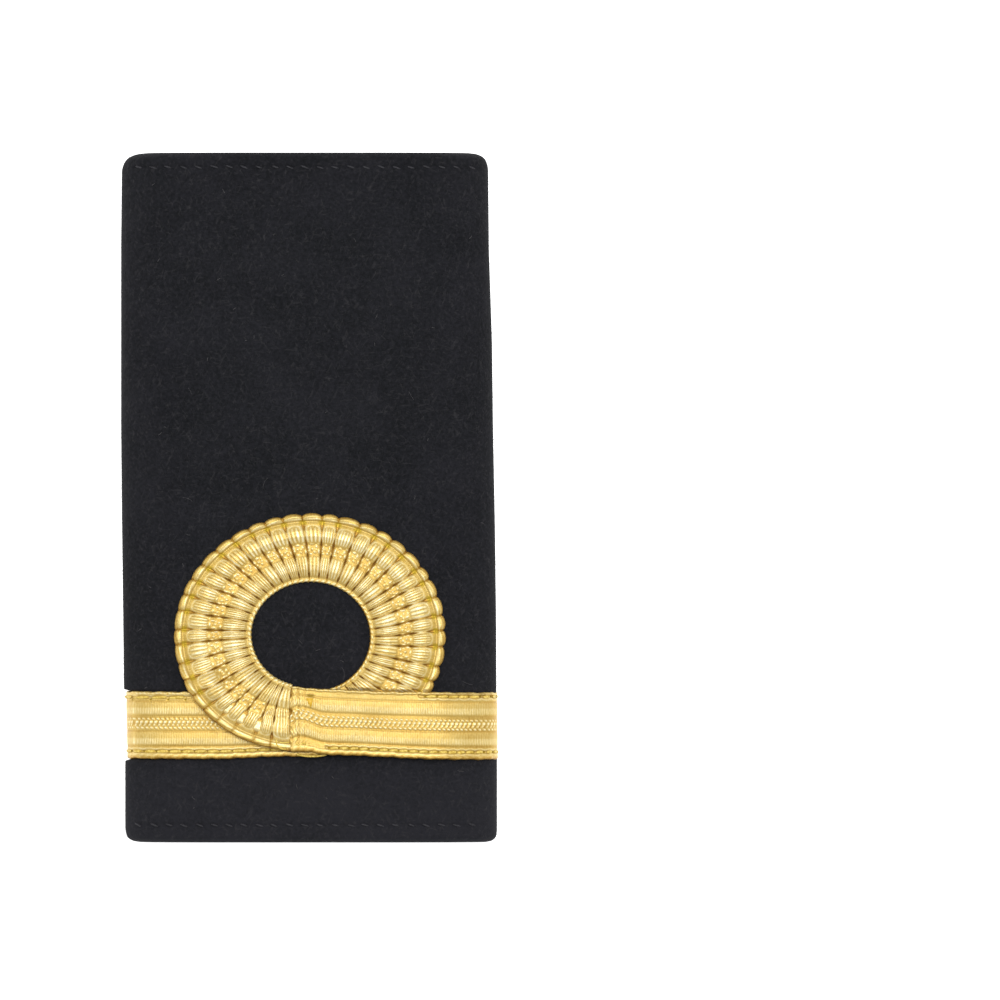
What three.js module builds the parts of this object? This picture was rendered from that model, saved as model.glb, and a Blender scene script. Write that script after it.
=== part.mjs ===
// A cloth shoulder slide: a flat wool tube, open at both ends, with a gold lace stripe that makes one loop.
// It lies on its back. X is its width, Y its length with the plain end up, and Z rises to the decorated face.
// Lengths are in millimetres. The origin is under the middle of the slide, on the plane that it lies on.
import * as THREE from 'three';
import { ParametricGeometry } from 'three/addons/geometries/ParametricGeometry.js';
import { mergeVertices } from 'three/addons/utils/BufferGeometryUtils.js';

// The cloth tube
const length = 100;
const width = 54.6;
const height = 8.2; // top of the arched front above the plane
const frontWall = 1.6; // cloth over its stiffening
const backWall = 1.2;
const hemWall = 0.4; // what the turned-in hem adds inside
const hemDepth = 5;
const hemEase = 0.8; // length over which the hem's inner edge fades out
const foldRadius = 2.6; // round of the side folds
const leastFold = 0.5; // tightest inner round of a fold
const crownPower = 5; // a higher power makes the front flatter and its shoulders squarer
const seamInset = 5.6; // from the side to the seam under it
const cornerReach = 2.6; // length of the longest rounded corner

// The lace
const laceWidth = 10;
const laceWall = 1;
const laceFromEnd = 17; // from the lower mouth to the middle of the stripe
const eyeAcross = 17.4;
const eyeAlong = 15.6;
const sideSpread = 1.12; // the lace fans out at the sides of the loop
const ribCount = 44; // gathers in a full turn
const ribRise = 0.35; // how far a gather stands up
const ribScallop = 0.22; // how far a gather stands out at the outer edge
const ribLean = 3; // degrees that a gather turns from its inner to its outer end
const runRelief = 0.12; // height of the straight lace's cords and braid
const layerRise = 4; // length over which the lace climbs on to, or comes off, its own other layer
const ribFade = 0.8; // length over which a gather flattens where it goes under the stripe

// Clearance between pieces
const gap = 0.3;
const pinchEase = 0.6; // length over which the cloth comes out again beside the lace

// Places that follow from the sizes
const end = length / 2;
const laceY = laceFromEnd - end;
const eye = { x: eyeAcross / 2, y: eyeAlong / 2 };
const loop = { x: 0, y: laceY + laceWidth / 2 + eye.y };
const stripeTop = laceY + laceWidth / 2;
const pinch = laceWall + gap; // the folds are drawn in so that the lace is flush with the outline
const upperLayer = gap + laceWall + runRelief + gap; // underside of lace that lies on lace
const turn = THREE.MathUtils.degToRad;

// The outline: share of the length from the lower mouth, and shares of half the width at either side.
const outline = [
  { along: 0.00, left: 0.978, right: 1.000 },
  { along: 0.12, left: 0.978, right: 1.000 },
  { along: 0.20, left: 0.984, right: 0.997 },
  { along: 0.33, left: 0.989, right: 0.995 },
  { along: 0.46, left: 0.995, right: 0.989 },
  { along: 0.60, left: 1.000, right: 0.979 },
  { along: 0.73, left: 1.000, right: 0.973 },
  { along: 0.86, left: 1.000, right: 0.957 },
  { along: 1.00, left: 0.995, right: 0.952 },
];

// The rounded corners, as shares of the corner reach.
const corners = {
  upper: { left: { across: 0.88, along: 0.56 }, right: { across: 0.67, along: 1.00 } },
  lower: { left: { across: 0.56, along: 1.00 }, right: { across: 0.23, along: 0.77 } },
};

// The lace across its width, from the edge at the eye to the outer edge: height of the plain body as a share
// of the lace's wall, share of a gather's rise that is added on the loop, and of the relief on the runs.
const laceProfile = [
  { across: 0.00, body: 0.50, rib: 0.10, relief: 0.0 },
  { across: 0.06, body: 0.90, rib: 0.30, relief: 1.0 },
  { across: 0.14, body: 0.85, rib: 0.15, relief: 0.0 },
  { across: 0.32, body: 1.00, rib: 0.90, relief: 0.4 },
  { across: 0.50, body: 0.95, rib: 0.30, relief: 1.0 },
  { across: 0.62, body: 1.00, rib: 0.60, relief: 0.3 },
  { across: 0.78, body: 1.00, rib: 1.00, relief: 0.4 },
  { across: 0.93, body: 0.90, rib: 0.70, relief: 1.0 },
  { across: 1.00, body: 0.50, rib: 0.20, relief: 0.0 },
];
const laceUnderside = [1.00, 0.75, 0.50, 0.25, 0.00];

// Stops over one half of a section: 0 to 1 over the crown, 1 to 2 round the fold, 2 to 3 under it to the seam.
const crownStops = [0.30, 0.55, 0.72, 0.84, 0.92, 0.965, 0.99, 1.00];
const foldStops = [1.33, 1.67, 2.00];
const seamStop = 3;

const ease = (from, to, value) => THREE.MathUtils.smoothstep(value, from, to);
const lerp = THREE.MathUtils.lerp;

// Half the width at a place along the slide, without and with its rounded corners.
function straightSide(y, side) {
  const share = THREE.MathUtils.clamp(y / length + 0.5, 0, 1);
  const next = Math.max(1, outline.findIndex((row) => row.along >= share));
  const [a, b] = [outline[next - 1], outline[next]];
  const key = side < 0 ? 'left' : 'right';
  return lerp(a[key], b[key], (share - a.along) / (b.along - a.along)) * width / 2;
}

function roundedSide(y, side) {
  const corner = corners[y > 0 ? 'upper' : 'lower'][side < 0 ? 'left' : 'right'];
  const left = Math.max(0, 1 - (end - Math.abs(y)) / (corner.along * cornerReach));
  const cut = corner.across * cornerReach * (1 - Math.sqrt(1 - Math.min(left, 1) ** 2));
  return straightSide(y, side) - cut;
}

// How far the folds are drawn in under the lace.
function drawnIn(y) {
  const edge = laceWidth / 2 + gap;
  return pinch * (1 - ease(edge, edge + pinchEase, Math.abs(y - laceY)));
}

// A point of the slide's section at a place along it. The rise is measured outwards from the cloth's face.
function sectionPoint(stop, y, rise) {
  const side = stop < 0 ? -1 : 1;
  const step = Math.abs(stop);
  const pulled = drawnIn(y);
  const half = roundedSide(y, side) - pulled + rise;
  const floor = pulled - rise;
  const radius = Math.max(foldRadius - pulled + rise, leastFold);
  const waist = floor + radius;
  const crown = height + rise;
  if (step <= 1) {
    const z = waist + (crown - waist) * Math.sqrt(1 - step ** crownPower);
    return new THREE.Vector3(side * half * step, y, z);
  }
  if (step <= 2) {
    const angle = (step - 1) * Math.PI / 2;
    const x = half - radius + radius * Math.cos(angle);
    return new THREE.Vector3(side * x, y, waist - radius * Math.sin(angle));
  }
  const x = lerp(half - radius, straightSide(y, side) - seamInset, step - 2);
  return new THREE.Vector3(side * x, y, floor);
}

// The same face above a point of the plan.
function facePoint(x, y, rise) {
  const side = x < 0 ? -1 : 1;
  const half = roundedSide(y, side) - drawnIn(y) + rise;
  return sectionPoint(side * Math.abs(x) / half, y, rise);
}

// A closed skin over a list of stations, with one vertex for each stop round each station.
function skin(stops, stations, place) {
  const pick = (list, share) => list[Math.round(share * (list.length - 1))];
  const surface = new ParametricGeometry(
    (u, v, target) => target.copy(place(pick(stops, u), pick(stations, v))),
    stops.length - 1,
    stations.length - 1,
  );
  surface.deleteAttribute('normal');
  surface.deleteAttribute('uv');
  const merged = mergeVertices(surface, 1e-4);
  const faces = [];
  for (let i = 0; i < merged.index.count; i += 3) {
    const [a, b, c] = [0, 1, 2].map((corner) => merged.index.getX(i + corner));
    if (a !== b && b !== c && c !== a) faces.push(a, b, c);
  }
  merged.setIndex(faces);
  merged.computeVertexNormals();
  return merged;
}

// The wall at a place along the slide, and how far its rounded lip has closed in there.
function wallAt(y, wall) {
  const hem = hemWall * (1 - ease(hemDepth, hemDepth + hemEase, end - Math.abs(y)));
  const thick = wall + hem;
  const lip = thick / 2;
  const fromEnd = Math.min(end - Math.abs(y), lip);
  const closed = lip - Math.sqrt(lip ** 2 - (lip - fromEnd) ** 2);
  return { thick, closed };
}

// Places along the slide where a section of either panel is set.
function panelStations(wall) {
  const lip = (wall + hemWall) / 2;
  const lipSteps = [0, 0.134, 0.5, 1].map((share) => share * lip);
  const cornerSteps = [0.6, 0.8, 1].map((share) => share * cornerReach);
  const fromEnd = [...lipSteps, ...cornerSteps, hemDepth, hemDepth + hemEase];
  const bandEdge = laceWidth / 2 + gap;
  const fromLace = [0, bandEdge, bandEdge + pinchEase / 2, bandEdge + pinchEase, bandEdge + 4 * pinchEase];
  const plain = [0.44, 0.58, 0.72, 0.86].map((share) => share * length - end);
  const places = [
    ...fromEnd.flatMap((step) => [-end + step, end - step]),
    ...fromLace.flatMap((step) => [laceY - step, laceY + step]),
    ...plain,
  ];
  return [...new Set(places)].sort((a, b) => a - b);
}

function frontPanel() {
  const half = [...crownStops, ...foldStops, seamStop];
  const across = [...half.map((stop) => -stop).reverse(), 0, ...half];
  const outer = across.map((stop) => ({ stop, inside: false }));
  const inner = across.map((stop) => ({ stop, inside: true })).reverse();
  return skin([...outer, ...inner, outer[0]], panelStations(frontWall), ({ stop, inside }, y) => {
    const { thick, closed } = wallAt(y, frontWall);
    return sectionPoint(stop, y, inside ? closed - thick : -closed);
  });
}

function backPanel() {
  const over = [-1, -0.5, 0, 0.5, 1].map((share) => ({ share, top: true }));
  const under = over.map(({ share }) => ({ share, top: false })).reverse();
  return skin([...over, ...under, over[0]], panelStations(backWall), ({ share, top }, y) => {
    const { thick, closed } = wallAt(y, backWall);
    const edge = straightSide(y, share) - seamInset - gap;
    return new THREE.Vector3(share * edge, y, top ? thick - closed : closed);
  });
}

// The lace is one ribbon. Its stations run along the left run, round the loop and along the right run.
function laceStations() {
  const reach = [...crownStops, 1.5, 2, seamStop];
  const left = reach.map((stop) => ({ run: -stop })).reverse();
  const loopOuter = eye.x + laceWidth * sideSpread;
  const clear = Math.sqrt(1 - ((stripeTop - loop.y) / (eye.y + laceWidth)) ** 2) * loopOuter + gap;
  const stepDown = [0, 0.25, 0.5, 0.75, 1].map((share) => (clear + share * layerRise) / (width / 2));
  const right = [...reach.filter((stop) => stop < 0.6 || stop > 0.9), ...stepDown]
    .sort((a, b) => a - b)
    .map((stop) => ({ run: stop, clear }));
  const pitch = 360 / ribCount;
  const hidden = [-90, -78, -66, -56].map((angle) => ({ angle, wave: 0 }));
  const waves = [0, 0.8, 1, 0.8];
  const ribbed = [];
  for (let angle = -48, step = 0; angle < 264; angle += pitch / waves.length, step += 1) {
    ribbed.push({ angle, wave: waves[step % waves.length] });
  }
  const stations = [...left, ...hidden, ...ribbed, { angle: 270, wave: 0 }, ...right];
  return [{ ...stations[0], cap: true }, ...stations, { ...stations.at(-1), cap: true }];
}

function laceOnRun({ run, clear }, across, height) {
  const y = laceY + (0.5 - across) * laceWidth;
  const x = Math.abs(run) * width / 2;
  const base = run < 0 ? gap : lerp(upperLayer, gap, ease(clear, clear + layerRise, x));
  return sectionPoint(run, y, base + height);
}

function laceOnLoop({ angle, wave }, across, height, rib) {
  const bare = ease(-52, -44, angle) * (1 - ease(235, 262, angle));
  const turned = turn(angle + ribLean * (across - 0.5) * bare);
  const scallop = across > 0.9 ? ribScallop * (wave - 0.5) * bare : 0;
  const radiusX = eye.x + across * laceWidth * sideSpread + scallop;
  const radiusY = eye.y + across * laceWidth + scallop;
  const x = loop.x + radiusX * Math.cos(turned);
  const y = loop.y + radiusY * Math.sin(turned);
  const covered = angle < 90 ? 1 - ease(stripeTop + gap, stripeTop + gap + ribFade, y) : 0;
  const climb = ease(204 - 360 * layerRise / (Math.PI * laceWidth * 3), 204, angle);
  const base = lerp(gap, upperLayer, climb);
  return facePoint(x, y, base + height + ribRise * wave * rib * bare * (1 - covered));
}

function goldLace() {
  const top = laceProfile.map((row) => ({ ...row, under: false }));
  const under = laceUnderside.map((across) => ({ across, body: 0, rib: 0, relief: 0, under: true }));
  return skin([...top, ...under, top[0]], laceStations(), (row, station) => {
    const at = station.cap ? { across: 0.5, body: 0.5, rib: 0, relief: 0 } : row;
    const height = at.body * laceWall;
    if (station.run === undefined) return laceOnLoop(station, at.across, height, at.rib);
    const relief = at.relief * runRelief * (1 - ease(0.84, 0.96, Math.abs(station.run)));
    return laceOnRun(station, at.across, height + relief);
  });
}

function wool() {
  return new THREE.MeshStandardMaterial({ name: 'navy_wool', color: 0x25252a, roughness: 0.95, metalness: 0 });
}

function gold() {
  return new THREE.MeshStandardMaterial({ name: 'gold_thread', color: 0xe0b866, roughness: 0.42, metalness: 0.3 });
}

function piece(name, geometry, material) {
  const mesh = new THREE.Mesh(geometry, material);
  mesh.name = name;
  return mesh;
}

const slide = new THREE.Group();
slide.add(piece('front_panel', frontPanel(), wool()));
slide.add(piece('back_panel', backPanel(), wool()));
slide.add(piece('gold_lace', goldLace(), gold()));

export default slide;
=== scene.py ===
# The looks of a cloth shoulder slide: wool tube, hem and seam stitches, gold lace with its gathered loop.
# Shapes are worked out in millimetres, in the frame's own axes, and scaled to metres when a mesh is made.
import bmesh
import bpy
import numpy as np
from mathutils import Matrix, Vector


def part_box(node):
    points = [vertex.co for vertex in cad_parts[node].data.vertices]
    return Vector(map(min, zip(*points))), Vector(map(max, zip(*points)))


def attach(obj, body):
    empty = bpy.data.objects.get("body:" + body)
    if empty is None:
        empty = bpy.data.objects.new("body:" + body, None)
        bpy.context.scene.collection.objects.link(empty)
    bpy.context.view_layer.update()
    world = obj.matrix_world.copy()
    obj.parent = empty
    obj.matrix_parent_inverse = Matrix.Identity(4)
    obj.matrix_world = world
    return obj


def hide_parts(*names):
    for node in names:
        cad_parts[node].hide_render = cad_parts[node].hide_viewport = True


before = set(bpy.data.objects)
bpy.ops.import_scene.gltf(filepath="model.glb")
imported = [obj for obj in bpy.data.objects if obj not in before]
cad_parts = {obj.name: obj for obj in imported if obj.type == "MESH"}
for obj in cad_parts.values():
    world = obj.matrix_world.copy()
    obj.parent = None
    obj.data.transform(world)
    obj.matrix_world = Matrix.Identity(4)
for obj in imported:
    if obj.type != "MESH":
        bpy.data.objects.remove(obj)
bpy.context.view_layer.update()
MM = 0.001


# The front panel: wool cloth over a thin stiffening, arched, with side folds that turn under to the seams.
# Both mouths have a turned-in hem with a round lip. The lace draws the folds in where it goes round them.
front_low, front_high = [np.array(corner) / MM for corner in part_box("front_panel")]
lace_low = np.array(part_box("gold_lace")[0]) / MM
LENGTH = front_high[1] - front_low[1]
WIDTH = front_high[0] - front_low[0]
HEIGHT = front_high[2]
END = LENGTH / 2
FRONT_WALL = 1.6
BACK_WALL = 1.2
HEM_WALL = 0.4
HEM_DEPTH = 5.0
HEM_EASE = 0.8
FOLD_RADIUS = 2.6
LEAST_FOLD = 0.5
CROWN_POWER = 5
SEAM_INSET = 5.6
CORNER_REACH = 2.6
LACE_WIDTH = 10.0
LACE_SEEN = 9.75
LACE_WALL = 1.0
GAP = 0.3
LACE_Y = lace_low[1] + LACE_WIDTH / 2
band = LACE_SEEN / 2
# How far the lace draws the folds in. At the left and at the right fold: how much narrower than the lace the
# drawn-in stretch is on each side, and the distance in which the cloth bulges out again.
PINCH = 0.95
PINCH_SHORT = (0, 0.4)
PINCH_EASE = (0.35, 0.1)
HEM_PITCH = 2.2
STITCH_FROM_EDGE = {"upper": 2.15, "lower": 2.5}
STITCH_DENT = 0.32 # half width of the dent along a row of stitches
PUCKER = 0.16
PUCKER_SWING = 0.35
SET_BACK = 0.08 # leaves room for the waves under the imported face
# Soft waves of the cloth: height, millimetres for each radian across and along, and start in radians.
WAVES = [(0.05, 5.1, 9.0, 1), (0.05, 8.3, -6.7, 0), (0.03, 2.9, 3.7, 0)]

# Share of the length, and shares of half the width at the left and at the right.
OUTLINE = np.array([
    (0.00, 0.978, 1.000), (0.12, 0.978, 1.000), (0.20, 0.984, 0.997), (0.33, 0.989, 0.995),
    (0.46, 0.995, 0.989), (0.60, 1.000, 0.979), (0.73, 1.000, 0.973), (0.86, 1.000, 0.957),
    (1.00, 0.995, 0.952),
])
# Rounded corners: how far each reaches across and along, as shares of the corner reach.
CORNERS = {("upper", -1): (1.0, 1.1), ("upper", 1): (0.67, 1.0),
           ("lower", -1): (0.42, 0.9), ("lower", 1): (0.23, 0.77)}


def ease(low, high, value):
    share = np.clip((value - low) / (high - low), 0, 1)
    return share * share * (3 - 2 * share)


def straight_side(y, side):
    share = y / LENGTH + 0.5
    left = np.interp(share, OUTLINE[:, 0], OUTLINE[:, 1])
    right = np.interp(share, OUTLINE[:, 0], OUTLINE[:, 2])
    return np.where(side < 0, left, right) * WIDTH / 2


def rounded_side(y, side):
    cut = np.zeros_like(y)
    for (where, hand), (across, along) in CORNERS.items():
        here = ((y > 0) == (where == "upper")) & ((side < 0) == (hand < 0))
        left = np.clip(1 - (END - np.abs(y)) / (along * CORNER_REACH), 0, 1)
        cut = np.where(here, across * CORNER_REACH * (1 - np.sqrt(1 - left ** 2)), cut)
    return straight_side(y, side) - cut


def drawn_in(y, side):
    """How far the lace draws a fold in. The cloth bulges out again beside it, at the right almost at once."""
    edge = band - np.where(side < 0, *PINCH_SHORT)
    return PINCH * (1 - ease(0, 1, (np.abs(y - LACE_Y) - edge) / np.where(side < 0, *PINCH_EASE)))


def section(stop, y, rise):
    """A point of the section: stops 0 to 1 cross the crown, 1 to 2 go round the fold, 2 to 3 under it."""
    side = np.where(stop < 0, -1.0, 1.0)
    step = np.abs(stop)
    pulled = drawn_in(y, side)
    half = rounded_side(y, side) - pulled + rise
    floor = pulled - rise
    radius = np.maximum(FOLD_RADIUS - pulled + rise, LEAST_FOLD)
    waist = floor + radius
    crown = HEIGHT + rise - waist
    over = np.clip(step, 0, 1)
    round_ = np.clip(step - 1, 0, 1) * np.pi / 2
    under = np.clip(step - 2, 0, 1)
    x = half * over - radius * (1 - np.cos(round_))
    x = x + under * (straight_side(y, side) - SEAM_INSET - x)
    z = waist + crown * np.sqrt(1 - over ** CROWN_POWER) - radius * np.sin(round_)
    return np.stack([side * x, y, z], axis=1)


def over_face(x, y, rise):
    side = np.where(x < 0, -1.0, 1.0)
    half = rounded_side(y, side) - drawn_in(y, side) + rise
    return section(side * np.abs(x) / half, y, rise)


def wall_at(y, wall):
    thick = wall + HEM_WALL * (1 - ease(HEM_DEPTH, HEM_DEPTH + HEM_EASE, END - np.abs(y)))
    lip = thick / 2
    from_end = np.clip(END - np.abs(y), 0, lip)
    return thick, lip - np.sqrt(np.maximum(lip ** 2 - (lip - from_end) ** 2, 0))


def stitch_line(y):
    """How near a place is to the hem's line of stitches, from 0 to 1."""
    from_edge = np.where(y > 0, STITCH_FROM_EDGE["upper"], STITCH_FROM_EDGE["lower"])
    return np.exp(-((END - np.abs(y) - from_edge) / STITCH_DENT) ** 2)


def meshed(name, shape):
    """Moves a bmesh into a new mesh."""
    mesh = bpy.data.meshes.new(name)
    shape.to_mesh(mesh)
    shape.free()
    return mesh


def linked(name, mesh):
    """Turns a mesh's faces outward, smooths them and puts the mesh into the scene as a piece."""
    shape = bmesh.new()
    shape.from_mesh(mesh)
    bmesh.ops.recalc_face_normals(shape, faces=shape.faces)
    for face in shape.faces:
        face.smooth = True
    shape.to_mesh(mesh)
    shape.free()
    piece = bpy.data.objects.new(name, mesh)
    bpy.context.collection.objects.link(piece)
    return piece


def closed_ring(outer, inner):
    """Places round a closed ring, the outer ones first, and 1 for each outer place and 0 for the others."""
    return np.concatenate([outer, inner, outer[:1]]), np.repeat([1, 0, 1], [len(outer), len(inner), 1])


def rolled(name, ring, rows, place):
    """A grid whose vertices are moved to a closed tube. For places of the ring, their sides and their rows,
    place gives the points and the marks for the finish."""
    places, is_outer = ring
    sheet = bmesh.new()
    bmesh.ops.create_grid(sheet, x_segments=len(places) - 1, y_segments=len(rows) - 1, size=0.5)
    mesh = meshed(name, sheet)
    flat = np.empty(len(mesh.vertices) * 3)
    mesh.vertices.foreach_get("co", flat)
    around, along = np.clip(flat.reshape(-1, 3)[:, :2].T + 0.5, 0, 1)
    index = np.round(around * (len(places) - 1)).astype(int)
    row = np.interp(along, np.linspace(0, 1, len(rows)), rows)
    points, marks = place(places[index], is_outer[index], row)
    mesh.vertices.foreach_set("co", (points * MM).ravel())
    for mark, values in marks.items():
        mesh.attributes.new(mark, "FLOAT", "POINT").data.foreach_set("value", values.astype(np.float32))
    tube = bmesh.new()
    tube.from_mesh(mesh)
    bmesh.ops.remove_doubles(tube, verts=tube.verts, dist=0.0005 * MM)
    bmesh.ops.holes_fill(tube, edges=[edge for edge in tube.edges if edge.is_boundary], sides=0)
    tube.to_mesh(mesh)
    tube.free()
    return linked(name, mesh)


def row_places(spacing, fine, fine_spacing):
    """Places along the slide: a plain spacing, with finer rows in the named stretches."""
    rows = list(np.arange(-END, END, spacing)) + [END]
    for low, high in fine:
        rows += list(np.arange(low, high, fine_spacing))
    return np.unique(np.round(np.clip(rows, -END, END), 3))


def travel_along(line):
    """The distance travelled at each point of a line."""
    return np.concatenate([[0], np.cumsum(np.linalg.norm(np.diff(line, axis=0), axis=1))])


def even_stops(count):
    """Stops of a section that lie evenly along its face, from one seam to the other."""
    dense = np.unique(np.concatenate([np.linspace(0, 3, 1200), 1 - np.linspace(1, 0, 400) ** 2]))
    travelled = travel_along(section(dense, np.zeros_like(dense), 0))
    half = np.interp(np.linspace(0, travelled[-1], count // 2 + 1), travelled, dense)
    return np.concatenate([-half[:0:-1], half])


MOUTH_FINE = 3.2 # length of the finer rows at each mouth
ROW, FINE_ROW = 0.75, 0.12
fine_rows = [(-END, -END + MOUTH_FINE), (END - MOUTH_FINE, END), (LACE_Y - band - 0.5, LACE_Y - band + 0.2),
             (LACE_Y + band - 0.2, LACE_Y + band + 0.5)]
front_rows = row_places(ROW, fine_rows, FINE_ROW)
outer_stops = even_stops(210)
inner_stops = even_stops(90)[::-1]


def front_place(stop, is_outer, y):
    thick, closed = wall_at(y, FRONT_WALL)
    x = stop * WIDTH / 2
    settled = sum(height * np.sin(x / across + y / ahead + start) for height, across, ahead, start in WAVES)
    swing = 1 - PUCKER_SWING * np.cos(2 * np.pi * x / HEM_PITCH)
    pucker = PUCKER * stitch_line(y) * swing * (1 - closed / thick * 2)
    flat = ease(0.99, 0.9, np.abs(stop))
    rise = np.where(is_outer, -closed - (pucker + SET_BACK - settled) * flat, closed - thick)
    return section(stop, y, rise), {}


front = rolled("wool_front", closed_ring(outer_stops, inner_stops), front_rows, front_place)
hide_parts("front_panel")
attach(front, "root")


# The wool's finish: navy-black cloth, felted so that no weave shows, only a fine grain of matted fibres
# with paler and browner hairs in it, a soft nap that lightens at grazing sight, and next to no gloss.
class Wire:
    """A node's output or a plain value, so that shader maths reads as an expression."""

    def __init__(self, tree, socket):
        self.tree, self.socket = tree, socket

    def node(self, kind, settings=None, **inputs):
        made = self.tree.nodes.new("ShaderNode" + kind)
        for key, value in (settings or {}).items():
            if key == "stops":
                for stop, (place, colour) in zip(made.color_ramp.elements, value):
                    stop.position, stop.color = place, colour
                for place, colour in value[2:]:
                    made.color_ramp.elements.new(place).color = colour
            else:
                setattr(made, key, value)
        for key, value in inputs.items():
            numbered = key[0] == "i" and key[1:].isdigit()
            entry = made.inputs[int(key[1:])] if numbered else made.inputs[key.replace("_", " ")]
            if isinstance(value, Wire):
                self.tree.links.new(value.socket, entry)
            else:
                entry.default_value = value
        return made

    def out(self, kind, settings=None, output=0, **inputs):
        return Wire(self.tree, self.node(kind, settings, **inputs).outputs[output])

    def maths(self, operation, *values):
        entries = {f"i{number}": value for number, value in enumerate(values)}
        return self.out("Math", {"operation": operation}, **entries)

    def __add__(self, other):
        return self.maths("ADD", self, other)

    def __sub__(self, other):
        return self.maths("SUBTRACT", self, other)

    def __mul__(self, other):
        return self.maths("MULTIPLY", self, other)

    def __radd__(self, other):
        return self.maths("ADD", other, self)

    def __rsub__(self, other):
        return self.maths("SUBTRACT", other, self)

    def between(self, low, high):
        """0 below low and 1 above high, with a smooth climb."""
        return self.out("MapRange", {"interpolation_type": "SMOOTHSTEP", "clamp": True},
                        i0=self, i1=low, i2=high, i3=0.0, i4=1.0)

    def blend(self, low, high):
        """Mixes two colours by this value."""
        return self.out("Mix", {"data_type": "RGBA"}, output=2, i0=self, i6=low, i7=high)


def finish(name, **constants):
    """A material with constants on its shader's sockets. Gives the material, a wire and the shader."""
    material = bpy.data.materials.new(name)
    material.use_nodes = True
    shader = material.node_tree.nodes["Principled BSDF"]
    for key, value in constants.items():
        shader.inputs[key.replace("_", " ")].default_value = value
    return material, Wire(material.node_tree, None), shader


def plug(wire, shader, entry):
    wire.tree.links.new(wire.socket, shader.inputs[entry])


def rgb(red, green, blue):
    """A colour in the screen's 0 to 255, made linear."""
    return tuple((c / 255 / 12.92) if c < 11 else ((c / 255 + 0.055) / 1.055) ** 2.4
                 for c in (red, green, blue)) + (1,)


def wool_finish(name, base, light, hair):
    wool, start, shader = finish(name, Specular_IOR_Level=0.015, Sheen_Weight=0.03, Sheen_Roughness=0.6)
    place = start.out("TexCoord", output=3)
    felt = start.out("TexNoise", Vector=place, Scale=2300.0, Detail=3.0, Roughness=0.6)
    cloud = start.out("TexNoise", Vector=place, Scale=110.0, Detail=4.0, Roughness=0.6)
    hairs = []
    for turn, scale in ((0.5, 2900.0), (1.6, 2600.0), (2.7, 2400.0)):
        space = start.out("Mapping", {"vector_type": "TEXTURE"}, Vector=place, Rotation=(0.0, 0.0, turn),
                          Scale=(1.0, 3.4, 1.0))
        noise = start.out("TexNoise", Vector=space, Scale=scale, Detail=2.0, Distortion=0.9)
        hairs.append(noise.between(0.58, 0.72))
    matted = hairs[0] + hairs[1] + hairs[2]
    # The cloth is made lighter below the lace stripe, by the mask on the next line.
    lighter_below_lace = 1.0 - start.out("SeparateXYZ", output=1, Vector=place).between(-0.041, -0.036)
    grain = felt.between(0.3, 0.72) * 0.6 + cloud.between(0.32, 0.68) * 0.3 + lighter_below_lace * 0.5
    plug((matted * 0.32).blend(grain.blend(base, light), hair), shader, "Base Color")
    plug(0.86 + felt * 0.12, shader, "Roughness")
    bump = start.out("Bump", Height=felt * 0.9 + matted * 0.3, Strength=0.6, Distance=0.00015)
    plug(bump, shader, "Normal")
    return wool


WOOL = wool_finish("navy wool", rgb(18, 19, 21), rgb(32, 32, 36), rgb(49, 48, 50))
front.data.materials.append(WOOL)


# The back panel: the lower cloth, flat, between the two seams. It has the same wool and the same hems.
BACK_ROW, BACK_FINE_ROW = 1.2, 0.16
SEAM_SLACK = GAP * 0.3
ROUNDED_SHARE = 0.015 # of the half width, along each side edge
ROUNDED_DEPTH = 0.35 # share of the wall that the rounding takes away


def back_place(share, is_top, y):
    thick, closed = wall_at(y, BACK_WALL)
    edge = straight_side(y, share) - SEAM_INSET - SEAM_SLACK
    near_edge = np.maximum(np.abs(share) - (1 - ROUNDED_SHARE), 0) / ROUNDED_SHARE
    rounding = near_edge ** 2 * thick * ROUNDED_DEPTH
    z = np.where(is_top, thick - closed - rounding, closed + rounding)
    return np.stack([share * edge, y, z], axis=1), {}


back_rows = row_places(BACK_ROW, fine_rows[:2], BACK_FINE_ROW)
back_shares = np.linspace(-1, 1, 61)
back = rolled("wool_back", closed_ring(back_shares, back_shares[::-1]), back_rows, back_place)
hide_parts("back_panel")
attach(back, "root")
back.data.materials.append(WOOL)


# The hem and seam stitches: grey-black sewing thread, each stitch a short rounded dash sunk into the wool.
# The hems have one slanting row near each mouth, and short cross stitches close the seams from below.
HEM_MARGIN = (2.6, 2.2) # from the left and the right side
HEM_SLANT = -0.34
HEM_SINK = -0.13
HEM_DASH = [(1.0, 1.25), (0.27, 0.32), (0.26, 0.32)] # least and most length, width and height
SEAM_PITCH = 2.0
SEAM_MARGIN = (1.6, 1.2) # from the lower and the upper mouth
SEAM_SLANT = 0.45
SEAM_RISE = 0.16
SEAM_DASH = (1.5, 0.3, 0.3) # length, width and height
ABOUT_Y = Matrix.Rotation(np.pi / 2, 3, "Y")
RNG = np.random.default_rng(7)


def dash(name, segments, rings):
    """A small rounded dash, one unit long along X, for many copies."""
    shape = bmesh.new()
    bmesh.ops.create_uvsphere(shape, u_segments=segments, v_segments=rings, radius=0.5)
    for vert in shape.verts:
        along, across = vert.co.z, vert.co.xy.length
        if across > 1e-6:
            vert.co.xy *= (1 - (2 * abs(along)) ** 3) ** 0.5 / (1 - (2 * along) ** 2) ** 0.5
    bmesh.ops.rotate(shape, verts=shape.verts, matrix=ABOUT_Y)
    return meshed(name, shape)


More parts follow.
